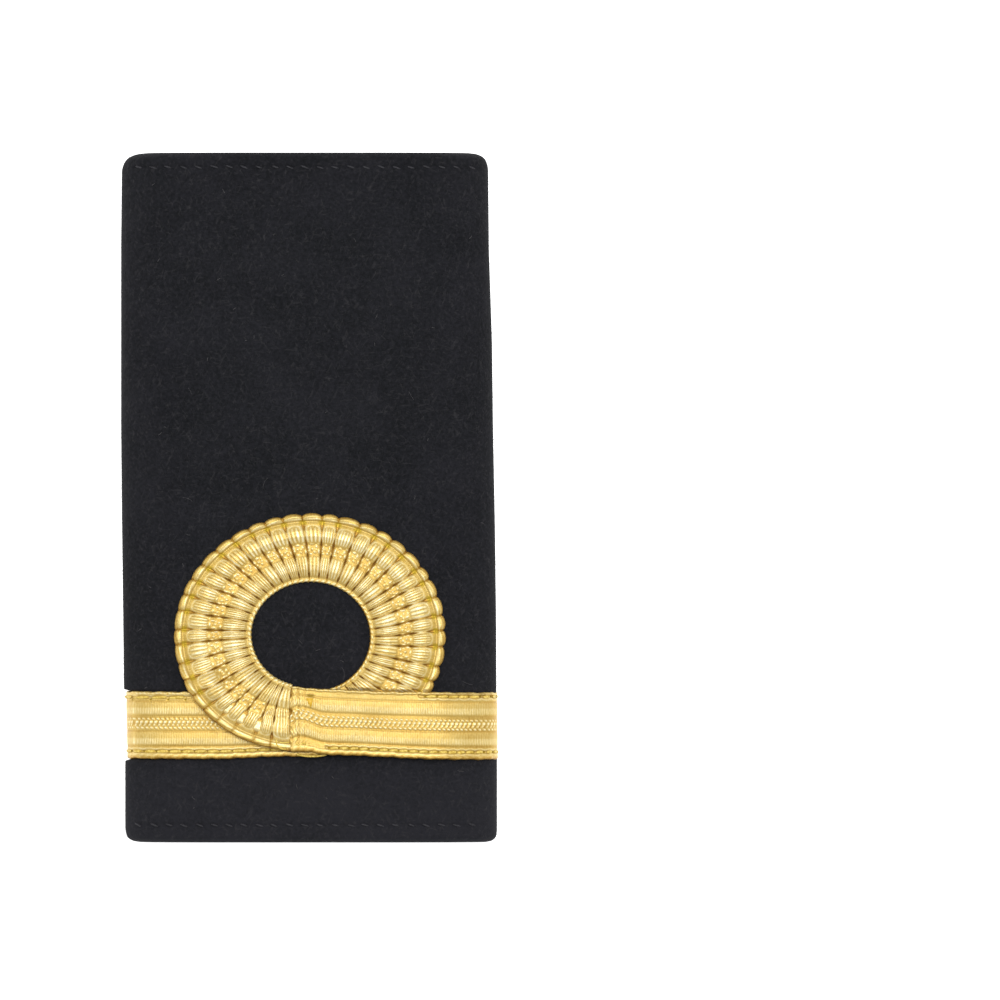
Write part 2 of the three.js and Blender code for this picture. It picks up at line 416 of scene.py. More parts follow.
def copies(name, template, frames):
    """One mesh that joins a copy of the template for each frame: a point and three arrows, in millimetres."""
    base = np.array([vert.co for vert in template.vertices])
    points, arrows = frames
    placed = points[:, None, :] + np.einsum("vi,nij->nvj", base, arrows)
    faces = [list(poly.vertices) for poly in template.polygons]
    offsets = np.arange(len(points)) * len(base)
    joined = bpy.data.meshes.new(name)
    all_faces = [[corner + offset for corner in face] for offset in offsets.tolist() for face in faces]
    joined.from_pydata((placed.reshape(-1, 3) * MM).tolist(), [], all_faces)
    return linked(name, joined)


def unit(arrows):
    """The same directions, one unit long."""
    return arrows / np.linalg.norm(arrows, axis=1, keepdims=True)


def laid(points, headings, ups, *sizes):
    """Frames for dashes laid on a face: X along the heading, Z up from the face. The sizes are their length,
    width and height, each as one number or as one for each dash."""
    headings = unit(headings - ups * np.sum(headings * ups, axis=1, keepdims=True))
    lengths, widths, heights = [np.broadcast_to(size, len(points))[:, None] for size in sizes]
    return points, np.stack([headings * lengths, np.cross(ups, headings) * widths, ups * heights], axis=1)


def face_up(x, y, rise):
    """The way out of the cloth's upper face at places of the plan."""
    step = 0.02
    here = over_face(x, y, rise)
    across = over_face(x + step, y, rise) - here
    along = over_face(x, y + step, rise) - here
    return unit(np.cross(across, along))


def hem_stitches():
    places, headings = [], []
    for where, sign in (("upper", 1), ("lower", -1)):
        y = sign * (END - STITCH_FROM_EDGE[where])
        for x in np.arange(-WIDTH / 2 + HEM_MARGIN[0], WIDTH / 2 - HEM_MARGIN[1], HEM_PITCH):
            places.append((x + RNG.uniform(-0.12, 0.12), y + RNG.uniform(-0.07, 0.07)))
            headings.append((1.0, HEM_SLANT + RNG.uniform(-0.08, 0.08), 0.0))
    x, y = np.array(places).T
    ups = face_up(x, y, np.zeros_like(x))
    points = over_face(x, y, np.full_like(x, HEM_SINK))
    return laid(points, np.array(headings), ups, *[RNG.uniform(*limits, len(x)) for limits in HEM_DASH])


stitch_shape = dash("stitch", 10, 9)
hem_thread = copies("hem_stitches", stitch_shape, hem_stitches())
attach(hem_thread, "root")


def seam_stitches():
    y = np.concatenate([np.arange(-END + SEAM_MARGIN[0], END - SEAM_MARGIN[1], SEAM_PITCH)] * 2)
    side = np.repeat([-1.0, 1.0], len(y) // 2)
    y = y + RNG.uniform(-0.1, 0.1, len(y))
    x = side * (straight_side(y, side) - SEAM_INSET - GAP / 2)
    clear = np.abs(y - LACE_Y) > band + 0.4
    x, y, side = x[clear], y[clear], side[clear]
    points = np.stack([x, y, np.full_like(x, SEAM_RISE)], axis=1)
    headings = np.stack([side, np.full_like(x, SEAM_SLANT), np.zeros_like(x)], axis=1)
    ups = np.tile([0.0, 0.0, -1.0], (len(x), 1))
    return laid(points, headings, ups, *SEAM_DASH)


seam_thread = copies("seam_stitches", stitch_shape, seam_stitches())
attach(seam_thread, "root")

thread_dark, start, shader = finish("dark sewing thread", Roughness=0.6, Specular_IOR_Level=0.3)
place = start.out("TexCoord", output=3)
twist = start.out("TexNoise", Vector=place, Scale=5200.0, Detail=2.0)
plug(twist.between(0.35, 0.7).blend(rgb(24, 24, 28), rgb(42, 41, 46)), shader, "Base Color")
plug(start.out("Bump", Height=twist, Strength=0.5, Distance=0.0001), shader, "Normal")
for thread in (hem_thread, seam_thread):
    thread.data.materials.append(thread_dark)


# The straight lace: gold-coloured metallic yarn woven on a narrow loom, with a corded selvedge at each edge,
# two satin bands of fine cross threads and a herringbone braid between them. Its ends go round the folds.
LAYER_ABOVE = GAP + LACE_WALL + 0.12 + GAP # rise of the upper layer's underside, in CAD
UNDERSIDE = GAP * 0.4 # rise of the lace's underside where it lies on the cloth
PRESSED = 0.63
EYE = (8.65, 7.95)
RIM = (19.75, 17.8)
LOOP = (0.26, LACE_Y + LACE_WIDTH / 2 + 7.8)
STRIPE_TOP = LACE_Y + band
FOLD_X = -2.64 # where the loop turns into the right run, at a crease
FOLD_START = 0.95 # stop from which the pattern follows the face of a side fold
BRAID_PITCH = 0.7
FINE_PITCH = 0.25
# Places across the straight lace, in millimetres from its upper edge: centre and half width of its selvedge
# cords and of its flat lines, centres of its two swells, and both ends of its painted highlight bands and
# satin bands.
TOP_CORD, LOW_CORD = (0.2, 0.21), (9.3, 0.42)
FLAT_LINES = [(7.95, 0.24), (1.42, 0.14), (5.72, 0.16)]
FLAT_BAND = (3.4, 4.0)
SWELLS = (2.4, 6.8)
PAINTED_HIGHLIGHT_BANDS = [(2.35, 3.2), (6.75, 7.6)]
SATIN_BANDS = [(1.45, 3.3), (5.85, 7.75)]
# Waves of the lace's edges: height, length and start in radians.
EDGE_WAVES = [(0.035, 1.9, 0), (0.03, 3.7, 1)]
HASH_STEPS, HASH_SPREAD = (12.9898, 78.233, 37.719), 43758.5453


def bead(value):
    """A row of round humps, one for each unit."""
    return np.abs(np.sin(np.pi * value))


def spot(value, centre, half):
    """A soft peak: 1 at its centre, fading over its half width."""
    return np.exp(-((value - centre) / half) ** 2)


def ridge(value, centre, half):
    """A round ridge: 1 at its centre, 0 from its half width on."""
    return np.sqrt(np.clip(1 - ((value - centre) / half) ** 2, 0, 1))


def plateau(value, low, high, soft):
    return ease(low - soft, low + soft, value) * ease(high + soft, high - soft, value)


def mixed(*keys):
    """A number from 0 to 1 for each set of whole numbers, always the same for the same set."""
    total = sum(key * step for key, step in zip(keys, HASH_STEPS))
    return np.modf(np.abs(np.sin(total) * HASH_SPREAD))[0]


def braided(along, across, centre):
    """The braid's bright strokes: a row of small slanting beads, one of bold strokes, and beads again."""
    number = along / BRAID_PITCH
    upper = spot(across, centre - 0.62, 0.15) * bead(number - (across - centre) * 0.7 + 0.1) ** 2
    head = spot(across, centre - 0.14, 0.20) * bead(number + (across - centre) * 0.3) ** 2
    tail = spot(across, centre + 0.26, 0.22) * bead(number + (across - centre) * 0.9) ** 4
    lower = spot(across, centre + 0.68, 0.15) * bead(number - (across - centre) * 0.7 + 0.3) ** 2
    return np.maximum(np.maximum(upper * 0.9, head * 1.15), np.maximum(tail * 0.85, lower))


def stitched(along, across, line, pitch, side, below):
    """A line of machine stitches: the holes between them, and the bright arc that each one pulls up."""
    share = along / pitch % 1
    hole = spot(across, line + below, 0.2) * spot(np.minimum(share, 1 - share) * pitch, 0, 0.2)
    arc = spot(across, line + side * (0.28 + 0.2 * np.sin(np.pi * share)), 0.1)
    return hole, arc * (0.55 + 0.45 * np.abs(np.cos(np.pi * share)))


def woven(along, across, lines, centre):
    """Relief of the straight lace over its underside, and its marks: along and across are in millimetres."""
    from_edge = np.minimum(across, LACE_SEEN - across)
    top_cord = ridge(across, *TOP_CORD)
    low_cord = ridge(across, *LOW_CORD)
    top_twist = bead(along / 0.62 - across / 0.8)
    low_twist = bead(along / 1.05 + across / 0.9)
    braid = braided(along, across, centre)
    in_braid = plateau(across, centre - 0.75, centre + 0.85, 0.08)
    # A painted highlight: the lower half of each satin band is lighter, where its swell faces the light.
    pale = sum(plateau(across, *ends, 0.12) for ends in PAINTED_HIGHLIGHT_BANDS)
    satin = sum(plateau(across, *ends, 0.1) for ends in SATIN_BANDS)
    plain = sum((spot(across, *line) for line in FLAT_LINES), 0.7 * plateau(across, *FLAT_BAND, 0.1))
    swell = sum(ridge(across, middle, 1.0) for middle in SWELLS)
    height = 0.30 + 0.36 * ease(0.0, 0.14, from_edge) + 0.08 * swell
    height = height + 0.10 * top_cord * (0.7 + 0.3 * top_twist)
    height = height + 0.13 * low_cord * (0.88 + 0.12 * low_twist)
    height = height - 0.05 * plain + in_braid * (0.16 * braid - 0.04)
    tone = 0.52 + 0.15 * pale - 0.14 * plain + in_braid * (0.74 * braid - 0.15)
    # Painted light and shade: the cords' plies are lighter on their crests and darker between them, a painted
    # highlight runs along the upper side of the lower cord, and both edges are darkened with painted shade
    # where they turn down.
    tone = tone + top_cord * (0.12 + 0.25 * (top_twist - 0.5)) - 0.22 * spot(across, 0.0, 0.09)
    tone = tone + low_cord * 0.18 * (low_twist - 0.5) + 0.14 * spot(across, 9.1, 0.15)
    tone = tone - 0.30 * spot(across, LACE_SEEN, 0.35) - 0.20 * spot(across, 0.42, 0.06)
    hole = np.zeros_like(along)
    for line, pitch, side, below, low, high in lines:
        in_line = ease(low, low + 0.3, along) * ease(high, high - 0.3, along)
        pricked, arc = stitched(along, across, line, pitch, side, below)
        hole = np.maximum(hole, pricked * in_line)
        height = height + in_line * (0.07 * arc - 0.16 * plateau(across, line - 0.2, line + 0.2, 0.08))
        tone = tone + in_line * 0.34 * arc
    return height, tone, hole, 0.5 * satin + 0.5 * pale


def ring_shares(top, under):
    """Shares across the lace round its ring: over the top from edge to edge, and back along the underside."""
    edge = np.array([0.0, 0.004, 0.012])
    over = np.unique(np.concatenate([np.linspace(0, 1, top), edge, 1 - edge]))
    return closed_ring(over, np.linspace(1, 0, under))


def run_base(x, layered):
    """Rise of the lace's underside: the right run steps down over the flattened start of the loop."""
    if not layered:
        return np.full_like(x, UNDERSIDE)
    return UNDERSIDE + (LAYER_ABOVE - GAP - PRESSED) * ease(11.0, 2.0, x) + PRESSED * ease(24.0, 18.4, x)


def run_edges(x, layered):
    """The upper and lower edges of a run: it is drawn up a little beside the loop."""
    if not layered:
        return STRIPE_TOP + 0 * x, STRIPE_TOP - LACE_SEEN + 0.35 * ease(-14, -4, x)
    upper = STRIPE_TOP + 0.5 * ease(13, -1, x) + 0.38 * ease(0.5, FOLD_X, x) - 0.15 * ease(13, 24, x)
    lower = STRIPE_TOP - LACE_SEEN + 0.55 * ease(18, 4, x) + 0.5 * ease(4, -1, x) - 0.12 * ease(13, 24, x)
    return upper, lower


# Distance travelled along the stripe for each stop, measured over the middle of the lace.
all_stops = np.unique(np.concatenate([np.linspace(-3, 3, 1201), 1 - np.linspace(1, 0, 200) ** 2,
                                      np.linspace(1, 0, 200) ** 2 - 1]))
all_travel = travel_along(section(all_stops, np.full_like(all_stops, LACE_Y), PINCH))
all_travel -= np.interp(0, all_stops, all_travel)


def travel_at(stop):
    """Distance along the pattern: seen from above on the crown, and measured on the face round the folds."""
    round_fold = np.abs(np.interp(stop, all_stops, all_travel)) - np.interp(FOLD_START, all_stops, all_travel)
    return np.sign(stop) * (np.minimum(np.abs(stop), FOLD_START) * WIDTH / 2 + np.maximum(round_fold, 0))


def drawn_down(stop, y, rise, relief, outer):
    """Rise of the lace, drawn in with the folds so that its outer face ends up flush with the cloth."""
    share = ease(0.93, 0.995, np.abs(stop))
    flush = PINCH + np.where(stop < 0, -0.32, 0.24 * ease(1.9, 1.2, np.abs(stop)) - 0.12)
    flush = flush - 0.4 * np.maximum(0.66 - relief, 0)
    beside = PINCH - drawn_in(y, np.sign(stop))
    return rise + (flush - rise) * share * outer - beside * share


def creased(x, across):
    """How the right run starts at the crease: a lift of its braid, wrinkles, the crease, a dark pucker."""
    lift = 0.75 * ease(-2.9, -1.4, x) * ease(2.2, -0.9, x) * np.sin(np.pi * across / LACE_SEEN)
    pleats = np.cos(2 * np.pi * (x - FOLD_X) / 0.85 + 0.9 * np.sin(across * 0.9))
    ripples = np.cos(2 * np.pi * (x + 0.3 * np.sin(across * 2.3)) / 0.47)
    wrinkle = (0.6 * pleats + 0.45 * ripples) * ease(0.8, -1.6, x) * ease(LACE_SEEN, 8.4, across)
    edge = FOLD_X + 0.12 * np.sin(across * 2.1) + 0.07 * np.sin(across * 5.3)
    patchy = 0.72 + 0.28 * np.sin(across * 1.7 + 0.4)
    crease = (spot(x, edge - 0.05, 0.2) + ease(edge, edge - 0.2, x)) * patchy
    pucker = spot(across, 1.12, 0.11) * plateau(x, -0.2, 0.75, 0.25)
    return lift, wrinkle, np.clip(crease, 0, 1), pucker


def run_place(layered, lines, centre):
    def place(share, top, stop):
        travelled = travel_at(stop)
        across = share * LACE_SEEN
        x = stop * WIDTH / 2
        lift, wrinkle, crease, pucker = creased(x, across) if layered else (0, 0, 0, 0)
        relief, tone, hole, fine = woven(travelled, across + lift, lines, centre)
        upper, lower = run_edges(x, layered)
        y = upper + (lower - upper) * share
        base = run_base(x, layered)
        crown = ease(1.0, 0.9, np.abs(stop))
        relief = relief * (0.86 + 0.14 * crown) - 0.10 * hole + 0.06 * wrinkle - 0.34 * crease - 0.15 * pucker
        # Painted light and shade: wrinkle crests are lighter, and the crease is darkened with painted shade.
        tone = tone + 0.12 * wrinkle - 0.42 * crease
        hole = np.maximum(hole, pucker)
        wave = 0.05 * np.sin(travelled / 3.1 + share * 3) + 0.03 * np.sin(travelled / 1.3 + share * 5)
        rise = base + np.where(top, relief + wave * crown, 0.0)
        points = section(stop, y, drawn_down(stop, y, rise, relief, top))
        for height, length, start in EDGE_WAVES:
            edge_wave = height * np.sin(travelled * 2 * np.pi / length + start)
            points[:, 1] += edge_wave * (np.abs(share - 0.5) > 0.4)
        return points, {"tone": tone, "sewn": hole, "along": travelled, "across": across, "fine": fine,
                        "shine": 0 * tone}
    return place


def stops_between(low, high, spacing):
    """Stops along the stripe at an even distance, between two stops."""
    ends = np.interp([low, high], all_stops, all_travel)
    return np.interp(np.arange(ends[0], ends[1] + spacing / 2, spacing), all_travel, all_stops)


# Each line of machine stitches: millimetres from the lace's upper edge, pitch, side of its arcs, how far its
# holes lie below it, and its two ends.
LEFT_LINES = [(0.84, 2.61, -1, 0.3, -40.0, -17.2), (8.65, 1.9, -1, 0.0, -40.0, 1.2)]
RIGHT_LINES = [(0.62, 1.68, 1, 0.0, 15.6, 40.0), (8.68, 1.43, -1, 0.0, 2.2, 40.0)]
RUN_STEP = 0.09
run_ring = ring_shares(88, 6)
left_stops = stops_between(-3, 1.4 / (WIDTH / 2), RUN_STEP)
right_stops = stops_between((FOLD_X - 0.5) / (WIDTH / 2), 3, RUN_STEP)
left_run = rolled("lace_left_run", run_ring, left_stops, run_place(False, LEFT_LINES, 4.55))
right_run = rolled("lace_right_run", run_ring, right_stops, run_place(True, RIGHT_LINES, 4.72))


# The curl: the same lace drawn up into gathers as it turns through a full loop. Each gather is a sheaf of
# threads that bulges inside and outside the braid, is pinched at the braid, and ends in a round bump.
PITCH = 8.25 # degrees
LAST_GAP = 257.5 # degrees
GATHERS = 40
MIDDLE_GATHER = 20 # the curl is made as two pieces that meet in the gap before this gather
FIRST_GAP = LAST_GAP - GATHERS * PITCH
draw = np.random.default_rng(21)
gather_edges = np.arange(GATHERS + 2) + draw.uniform(-0.11, 0.11, GATHERS + 2)
gather_edges[[0, MIDDLE_GATHER, GATHERS - 1, GATHERS]] = 0, MIDDLE_GATHER, GATHERS - 1.2, GATHERS
MEAN_RADIUS = 13.5

# Profiles across the lace, from the eye's edge at 0 to the outer edge at 1: how wide each gather is, how high
# it stands in millimetres, and how much painted shade darkens the gap beside it.
WAIST = np.array([
    (0, 1.02), (0.055, 1.0), (0.075, 0.93), (0.12, 0.93), (0.15, 1.03), (0.28, 1.07), (0.34, 1.0),
    (0.39, 0.93), (0.43, 1.0), (0.51, 1.0), (0.55, 0.93), (0.60, 0.98), (0.67, 1.07), (0.75, 1.05),
    (0.80, 0.92), (0.84, 0.86), (0.87, 0.92), (0.93, 0.99), (1, 0.94),
])
STAND = np.array([
    (0, 0), (0.05, 0.05), (0.07, 0.20), (0.12, 0.42), (0.18, 0.60), (0.26, 0.66), (0.34, 0.46),
    (0.40, 0.32), (0.47, 0.36), (0.54, 0.32), (0.60, 0.48), (0.67, 0.68), (0.75, 0.62), (0.80, 0.40),
    (0.86, 0.20), (0.89, 0.12), (0.91, 0.30), (0.95, 0.42), (0.985, 0.26), (1, 0.05),
])
GAP_SHADE = np.array([
    (0, 0.1), (0.05, 0.2), (0.07, 0.95), (0.11, 0.95), (0.14, 0.4), (0.18, 0.1), (0.28, 0.15), (0.34, 0.7),
    (0.39, 0.9), (0.43, 0.4), (0.51, 0.35), (0.55, 0.8), (0.58, 0.75), (0.64, 0.3), (0.76, 0.25),
    (0.79, 0.4), (0.84, 0.45), (0.865, 0.4), (0.92, 0.4), (1, 0.35),
])
# The braid drawn together at a gather's waist, as bright strokes: place across the lace and across the
# gather, half length along each, and how bright the stroke is.
KNOTS = [(0.515, -0.22, 0.020, 0.07, 1.0), (0.414, 0.26, 0.011, 0.11, 1.0), (0.548, 0.10, 0.011, 0.13, 0.9),
         (0.505, 0.38, 0.026, 0.06, 1.0), (0.446, -0.40, 0.028, 0.06, 0.9), (0.436, -0.06, 0.012, 0.08, 0.9),
         (0.562, -0.36, 0.012, 0.08, 0.8), (0.484, 0.10, 0.014, 0.07, 0.8), (0.458, 0.36, 0.014, 0.06, 0.8),
         (0.478, -0.14, 0.010, 0.08, 0.7)]
# Angle, and how far the eye's edge and the outer edge there lie outside two plain ellipses, in millimetres.
RIM_SHIFT = np.array([
    (-90, 0, -0.3), (-20, 0, -0.25), (0, 0, -0.22), (15, 0, -0.1), (30, 0.03, 0), (60, 0.08, 0.15),
    (80, 0.05, 0.05), (130, 0, 0), (160, 0, 0), (175, -0.05, 0), (190, -0.17, -0.05), (205, -0.28, -0.05),
    (222, -0.4, -0.3), (235, -0.5, -0.5), (247, -0.62, -0.9), (257.5, -0.68, -1.25),
])


def sheaf(number, offset, zone, least, most):
    """Round threads of one part of a gather: their relief, and how bright each one is."""
    count = least + np.floor(mixed(number, zone, 3) * (most - least + 1))
    place = (offset + 0.5) * count + 0.3 * (mixed(number, zone, 5) - 0.5)
    thread = np.floor(place)
    relief = np.sqrt(np.clip(1 - (2 * (place - thread) - 1) ** 2, 0, 1))
    return relief, mixed(number, thread, zone)


def gather_at(angle, share):
    """The gather at an angle, and the place within it from 0 to 1."""
    turns = (angle - FIRST_GAP) / PITCH + 0.05 * np.sin(share * 4.3 + angle * 0.13) * np.sin(np.pi * share)
    number = np.clip(np.searchsorted(gather_edges, turns, "right") - 1, 0, GATHERS)
    return number, (turns - gather_edges[number]) / (gather_edges[number + 1] - gather_edges[number])


def gathered(angle, share):
    """Relief of the gathered lace over its underside, and its marks."""
    number, within = gather_at(angle, share)
    flatten = ease(218, 238, angle)
    last_gap = plateau(angle, LAST_GAP - 1.6 * PITCH, LAST_GAP - 0.7 * PITCH, 1.0)
    spread = ease(213, 227, angle) * plateau(share, 0.62, 0.81, 0.03) * (1 - last_gap)
    waist = np.interp(share, *WAIST.T) + 0.03 * (mixed(number, 3, 8) - 0.5)
    waist = waist - (0.25 + 0.15 * mixed(number, 4, 1)) * spread
    offset = (within - 0.5) / waist
    beside = np.abs(offset) * 2
    crest = np.clip(1 - beside ** 3, 0, 1) ** 0.5
    gap = ease(0.88, 0.99, beside)
    gap_shade = np.interp(share, *GAP_SHADE.T) * (1 - 0.75 * flatten * ease(0.84, 0.88, share)) + 0.5 * last_gap
    inner_relief, inner_glow = sheaf(number, offset, 1, 3, 5)
    outer_relief, outer_glow = sheaf(number, offset, 2, 4, 6)
    streaky = ease(236, 248, angle)
    in_inner = plateau(share, 0.085, 0.375, 0.015)
    in_outer = plateau(share, 0.575 - 0.19 * streaky, 0.81, 0.015)
    in_sheaf = in_inner + in_outer
    strand = inner_relief * in_inner + outer_relief * in_outer
    # Painted highlights on the threads where each sheaf bulges towards the light.
    inner_highlight = spot(share, 0.19 + 0.07 * inner_glow, 0.055) * in_inner * (0.1 + 0.42 * inner_glow)
    outer_highlight = spot(share, 0.62 + 0.06 * outer_glow, 0.045) * in_outer * (0.12 + 0.40 * outer_glow)
    knots = np.zeros_like(share)
    for order, (at_share, at_offset, half_share, half_offset, bright) in enumerate(KNOTS):
        jog = mixed(number, order, 7) - 0.5
        out = (share - at_share - 0.02 * jog) / half_share
        aside = (offset - at_offset - 0.12 * jog) / half_offset
        stroke = np.exp(-(out ** 2 + aside ** 2)) * bright
        knots = np.maximum(knots, stroke * (0.6 + 0.5 * mixed(number, order, 9)))
    in_knots = plateau(share, 0.385, 0.565, 0.012) * (1 - 0.7 * streaky)
    lift = 0.86 + 0.26 * mixed(number, 2, 4)
    edge = ease(0.0, 0.012, np.minimum(share, 1 - share))
    height = 0.16 + 0.22 * edge + crest * np.interp(share, *STAND.T) * lift * (1 - 0.35 * flatten)
    height = height + 0.10 * (strand - 0.4 * in_sheaf) * crest + 0.13 * knots * in_knots
    fine_twist = bead(angle / 5.2 + share * 8)
    inner_cord = ridge(share, 0.024, 0.026)
    height = height + 0.20 * inner_cord * (0.6 + 0.4 * fine_twist)
    ply = bead((share - 0.9) * 24 + offset * 0.7 + mixed(number, 1, 1))
    in_cord = plateau(share, 0.908, 0.985, 0.01)
    height = height + 0.06 * in_cord * ply * crest - 0.08 * spot(share, 0.885, 0.014)
    shoulder = 0.35 + 0.65 * spot(np.abs(offset), 0.32, 0.14)
    arc = spot(share, 0.838 - 0.08 * np.abs(offset), 0.011) * crest * shoulder
    glint = strand ** 14
    # Painted light and shade: each gather darkens towards its sides and its threads darken between one
    # another, while painted highlights run along the threads and where each sheaf bulges towards the light.
    tone = 0.555 - 0.10 * np.clip(beside, 0, 1) ** 5
    tone = tone + (0.26 * (strand - 0.72) + 0.14 * (inner_glow - 0.5) + 0.20 * glint) * in_sheaf
    tone = tone + (inner_highlight + outer_highlight) * (0.4 * strand ** 2 + 0.8 * glint) * (1 - 0.5 * flatten)
    tone = tone + in_knots * (0.85 * knots - 0.14) + 0.42 * arc + 0.06 * (mixed(number, 6, 2) - 0.5)
    # Painted light and shade on the cords and rims: plies lighter on their crests, a painted highlight along
    # the outer cord's top, the outer rim darkened with painted shade where it turns down, and the eye's rim
    # on its right side darkened with painted shade on its inner wall.
    tone = tone + inner_cord * (0.12 + 0.55 * (fine_twist - 0.55)) - 0.12 * spot(share, 0.850, 0.008)
    tone = tone + in_cord * 0.30 * (ply - 0.6) + 0.30 * spot(share, 0.930, 0.012) * crest
    tone = tone - (0.20 + 0.16 * ease(208, 225, angle)) * ease(0.955, 0.995, share)
    tone = tone - 0.40 * plateau(angle, -62, 42, 12) * ease(0.030, 0.006, share)
    bare = spread * ease(0.94, 1.06, beside)
    # A painted sheen: pale patches where the spread gathers lay the satin flat.
    satin = bare * ease(0.655, 0.70, share)
    # The gaps between gathers are darkened with painted shade.
    tone = tone * (1 - bare) + bare * (0.30 + 0.75 * satin) - 0.43 * gap * gap_shade * (1 - bare)
    seam = plateau(share, 0.84, 0.912, 0.012) * (0.32 + 0.46 * ease(0.5, 0.9, beside)) * ease(228, 206, angle)
    seam = seam + 0.33 * plateau(share, 0.93, 0.975, 0.012) + 0.5 * plateau(share, 0.052, 0.064, 0.006)
    return height + 0.22 * bare, tone, seam, satin


def curl_place(share, top, angle):
    height, tone, seam, satin = gathered(angle, share)
    within = gather_at(angle, share)[1]
    lean = 3.0 + 9.3 * ease(232, LAST_GAP, angle) + 0.8 * np.sin(share * 5) * ease(LAST_GAP, 250, angle)
    turned = np.radians(angle + lean * (share - 0.5))
    bump_out = np.clip(1 - (np.abs(within - 0.5) * 2) ** 2.4, 0, 1)
    strong = 1.1 - 0.6 * ease(80, 170, angle) - 0.4 * ease(205, 222, angle)
    scallop = 0.34 * (bump_out - 0.72) * ease(0.88, 1.0, share) * strong
    nip = 0.08 * (1 - bead(angle / 5.2 + share * 8)) * ease(0.03, 0.0, share)
    inner, outer = [np.interp(angle, RIM_SHIFT[:, 0], RIM_SHIFT[:, column]) for column in (1, 2)]
    shift = inner * (1 - share) + outer * share + scallop - nip
    x = LOOP[0] + (EYE[0] + share * (RIM[0] - EYE[0]) + shift) * np.cos(turned)
    y = LOOP[1] + (EYE[1] + share * (RIM[1] - EYE[1]) + shift) * np.sin(turned)
    edge_above = run_edges(x, True)[0]
    covered = np.where(angle < 90, ease(edge_above + 0.5, edge_above - 0.1, y), 0)
    near_stripe = ease(STRIPE_TOP + 4.2, STRIPE_TOP + 0.2, y)
    climb = np.maximum(near_stripe, ease(245, 255, angle)) * ease(170, 180, angle)
    relief = height * (1 - covered) + np.minimum(height, PRESSED - 0.14) * covered
    ending = ease(LAST_GAP - 1.1, LAST_GAP, angle)
    hangs = plateau(share, 0.15, 0.85, 0.05) * ease(STRIPE_TOP, STRIPE_TOP + 0.3, y) * (1 - top)
    rise = UNDERSIDE + (LAYER_ABOVE - GAP) * climb * (1 - hangs)
    rise = rise + np.where(top, np.maximum(relief - 0.3 * ending, 0.15), 0)
    # The curl's last stretch is darkened with painted shade where it runs into the crease.
    marks = {"tone": tone - 0.35 * ending, "sewn": seam, "along": np.radians(angle) * MEAN_RADIUS,
             "across": share * LACE_WIDTH, "fine": 0 * tone, "shine": satin}
    return over_face(x, y, rise), marks


middle_angle = FIRST_GAP + MIDDLE_GATHER * PITCH
fine_step = PITCH / 42
curl_parts = {
    "lace_curl_start": [np.linspace(-90, -73, 8), np.arange(-72.3, middle_angle, fine_step), [middle_angle]],
    "lace_curl_end": [np.arange(middle_angle, LAST_GAP, fine_step), [LAST_GAP]],
}
curl = [rolled(name, ring_shares(92, 6), np.concatenate(stretches), curl_place)
        for name, stretches in curl_parts.items()]
for piece in (left_run, right_run, *curl):
    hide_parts("gold_lace")
    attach(piece, "root")


# The gold yarn's finish: a thin metallic strip wound on a silk core, so it is part metal and part thread.
# Its tone marks paint shade into the gaps in brown and painted highlights onto the threads, and needle holes
# and the sewn seams have marks of their own.
def gold_finish(name, sewn_colour):
    gold, start, shader = finish(name, Metallic=0.5, Specular_IOR_Level=0.2)

    def mark(key):
        return start.out("Attribute", {"attribute_name": key, "attribute_type": "GEOMETRY"}, output=2)

    place = start.out("TexCoord", output=3)
    tone, along, across, fine, shine = [mark(key) for key in ("tone", "along", "across", "fine", "shine")]
    patch = start.out("TexNoise", Vector=place, Scale=240.0, Detail=2.0)
    yarn = start.out("CombineXYZ", i0=along * 5.0, i1=across * 0.9, i2=0.0)
    wisps = start.out("TexNoise", Vector=yarn, Scale=1.6, Detail=3.0, Roughness=0.6)
    turn = (along + (patch - 0.5) * 0.25) * (2 * np.pi / FINE_PITCH)
    thread = turn.maths("SINE", turn)
    level = tone + (patch - 0.5) * 0.22 + (wisps - 0.5) * 0.5 + thread * fine * 0.16
    # The ramp turns tone into colour: its brown end shows the painted shade, its cream end the painted
    # highlights.
    stops = [(0.0, rgb(110, 75, 27)), (0.25, rgb(157, 118, 43)), (0.5, rgb(191, 161, 86)),
             (0.75, rgb(208, 187, 126)), (1.0, rgb(230, 219, 178))]
    ramp = start.out("ValToRGB", {"stops": stops}, Fac=level)
    colour = mark("sewn").between(0.15, 0.8).blend(ramp, sewn_colour)
    # A painted sheen on the curl's satin patches, blended towards pale gold.
    colour = (shine * 0.8).blend(colour, rgb(214, 194, 138))
    plug(colour, shader, "Base Color")
    plug(0.44 - shine * 0.12 + (wisps - 0.5) * 0.25, shader, "Roughness")
    height = thread * fine * 0.35 + wisps * 1.1
    plug(start.out("Bump", Height=height, Strength=0.7, Distance=0.00006), shader, "Normal")
    return gold


WOVEN_GOLD = gold_finish("woven gold", rgb(142, 116, 24))
GATHERED_GOLD = gold_finish("gathered gold", rgb(172, 144, 42))
left_run.data.materials.append(WOVEN_GOLD)
right_run.data.materials.append(WOVEN_GOLD)
for piece in curl:
    piece.data.materials.append(GATHERED_GOLD)


# The machine stitches that hold the lace down: yellow-olive thread, one dash for each stitch, along the lower
# edge of the whole stripe, and along its upper edge only where the lace lies on the cloth.
LAST_STITCH = 2.6 # stop, under the folds
STITCH_RISE = 0.56 # over the lace's underside
STITCH_APART = 0.22
STITCH_WIDTH, STITCH_HEIGHT = 0.42, 0.26


